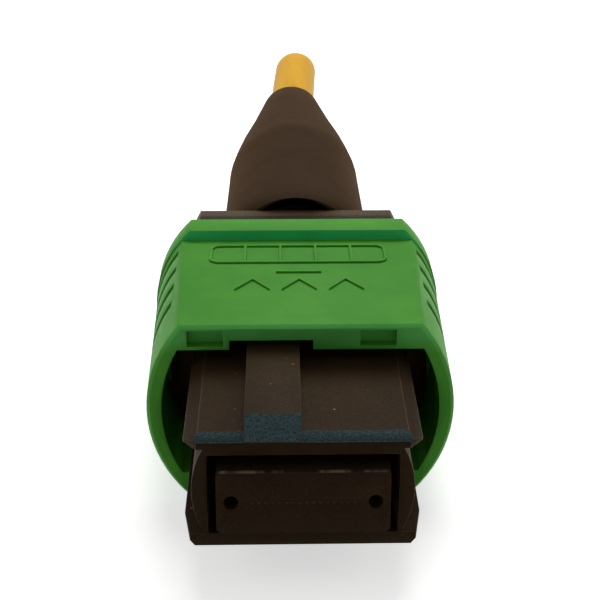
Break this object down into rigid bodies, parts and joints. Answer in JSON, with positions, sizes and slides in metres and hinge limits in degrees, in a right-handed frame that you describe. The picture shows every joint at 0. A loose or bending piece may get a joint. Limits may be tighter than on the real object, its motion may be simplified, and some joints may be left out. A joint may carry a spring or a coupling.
{
  "type": "mpo fibre connector",
  "caption": "Push-pull multi-fibre optical plug with a rectangular ferrule, sliding coupling sleeve, rubber boot and a short round cable end.",
  "frame": {"origin": "centre of the ferrule's end face, on the plug's axis", "axes": "+Y along the plug towards the cable, +Z towards the key side, +X to the right seen from the mating face"},
  "size_m": [0.0134, 0.0538, 0.008],
  "materials": {
    "green_plastic": "moulded, satin",
    "black_plastic": "moulded, satin",
    "ferrule_resin": "ground end face, fine moulded sides",
    "silica": "polished ends",
    "glue": "cured clear amber",
    "soft_rubber": "matt",
    "clamp_plastic": "moulded",
    "ribbon_coating": "clear acrylate",
    "spring_steel": "drawn wire",
    "crimp_metal": "nickel-grey, crimped",
    "tube_brass": "drawn",
    "aramid": "bundled yarn",
    "yellow_jacket": "extruded, satin",
    "boot_rubber": "moulded, satin"
  },
  "bodies": {
    "plug": {"inner_housing": "black_plastic", "spring_push": "black_plastic", "crimp_sleeve": "crimp_metal", "support_tube": "tube_brass", "aramid_yarn": "aramid", "cable_jacket": "yellow_jacket", "strain_boot": "boot_rubber", "fibre_ribbon": "ribbon_coating", "ferrule_spring": "spring_steel", "coupling_spring_left": "spring_steel", "coupling_spring_right": "spring_steel"},
    "coupling_sleeve": {"outer_housing": "green_plastic"},
    "ferrule_set": {"mt_ferrule": "ferrule_resin", "fibres": "silica", "window_epoxy": "glue", "ferrule_boot": "soft_rubber", "pin_clamp": "clamp_plastic"}
  },
  "joints": [
    {"name": "coupling_slide", "type": "slide", "parent": "plug", "child": "coupling_sleeve", "axis": [0, 1, 0], "range_m": [0, 0.0018], "stiffness_N_per_m": 800, "springref_m": -0.002, "deforming": ["coupling_spring_left", "coupling_spring_right"]},
    {"name": "ferrule_float", "type": "slide", "parent": "plug", "child": "ferrule_set", "axis": [0, 1, 0], "range_m": [0, 0.0009], "stiffness_N_per_m": 6000, "springref_m": -0.0025, "deforming": ["ferrule_spring", "fibre_ribbon"]}
  ]
}
